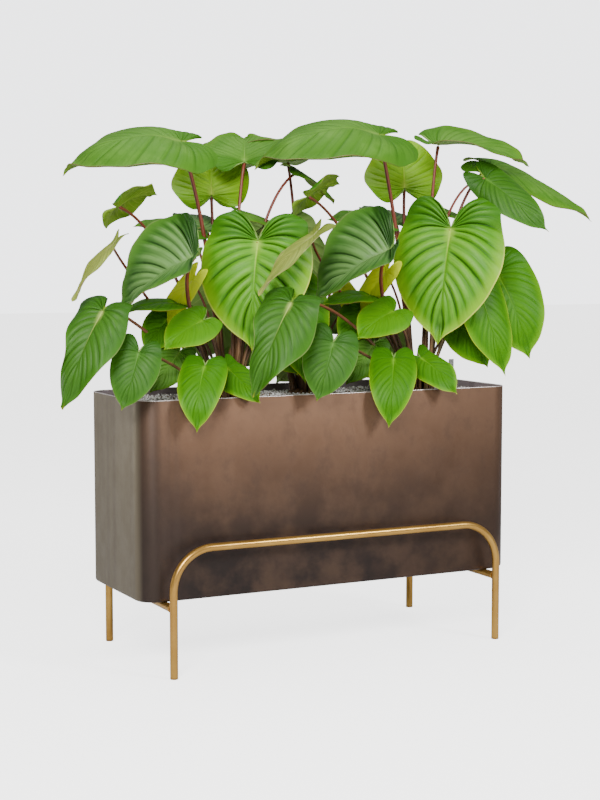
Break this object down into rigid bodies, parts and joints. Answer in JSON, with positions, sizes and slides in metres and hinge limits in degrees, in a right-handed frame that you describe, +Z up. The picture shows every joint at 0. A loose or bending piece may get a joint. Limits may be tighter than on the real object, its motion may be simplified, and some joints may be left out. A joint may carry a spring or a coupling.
{
  "type": "potted homalomena plant",
  "caption": "Long rounded planter on a low tube stand, filled with growing granules and planted with heart-leaved homalomena and a water gauge.",
  "frame": {"origin": "on the floor, under the middle of the whole object's extents", "axes": "+X along the planter to the right as seen from its front, +Y from the front to the back, +Z up"},
  "size_m": [1.2348, 0.494, 1.1162],
  "materials": {
    "planter": "brushed, bronze-brown lacquer with soft mottling",
    "granules": "rough pumice granules in white, grey and brown",
    "gauge": "smooth, pale grey",
    "stand": "satin gold lacquer",
    "leaf": "waxy green with paler veins and margin",
    "stalk": "smooth red-brown"
  },
  "bodies": {
    "root": {"planter_shell": "planter", "growing_granules": "granules", "water_gauge": "gauge", "stand_arch_front": "stand", "stand_arch_back": "stand", "stand_crossbar_left": "stand", "stand_crossbar_right": "stand", "left_plant_stalks": "stalk", "left_leaf_canopy_left": "leaf", "left_leaf_canopy_right": "leaf", "left_leaf_drooping_upper": "leaf", "left_leaf_upright_back": "leaf", "left_leaf_large_heart": "leaf", "left_leaf_large_left": "leaf", "left_leaf_right_outer": "leaf", "left_leaf_right_inner": "leaf", "left_leaf_small_bright": "leaf", "left_leaf_over_rim": "leaf", "left_leaf_small_right": "leaf", "left_leaf_rim_left": "leaf", "left_leaf_twisted": "leaf", "left_leaf_pale_drooping": "leaf", "left_leaf_underside_left": "leaf", "middle_plant_stalks": "stalk", "middle_leaf_canopy_right": "leaf", "middle_leaf_large_heart": "leaf", "middle_leaf_right_outer": "leaf", "middle_leaf_right_inner": "leaf", "middle_leaf_small_bright": "leaf", "middle_leaf_over_rim": "leaf", "middle_leaf_small_right": "leaf", "middle_leaf_rim_left": "leaf", "right_plant_stalks": "stalk", "right_leaf_canopy_left": "leaf", "right_leaf_canopy_right": "leaf", "right_leaf_drooping_upper": "leaf", "right_leaf_drooping_lower": "leaf", "right_leaf_upright_back": "leaf", "right_leaf_large_heart": "leaf", "right_leaf_large_left": "leaf", "right_leaf_right_outer": "leaf", "right_leaf_right_inner": "leaf", "right_leaf_small_bright": "leaf", "right_leaf_over_rim": "leaf", "right_leaf_small_right": "leaf", "right_leaf_rim_left": "leaf", "right_leaf_twisted": "leaf", "right_leaf_pale_drooping": "leaf", "right_leaf_underside_left": "leaf"}
  },
  "joints": []
}
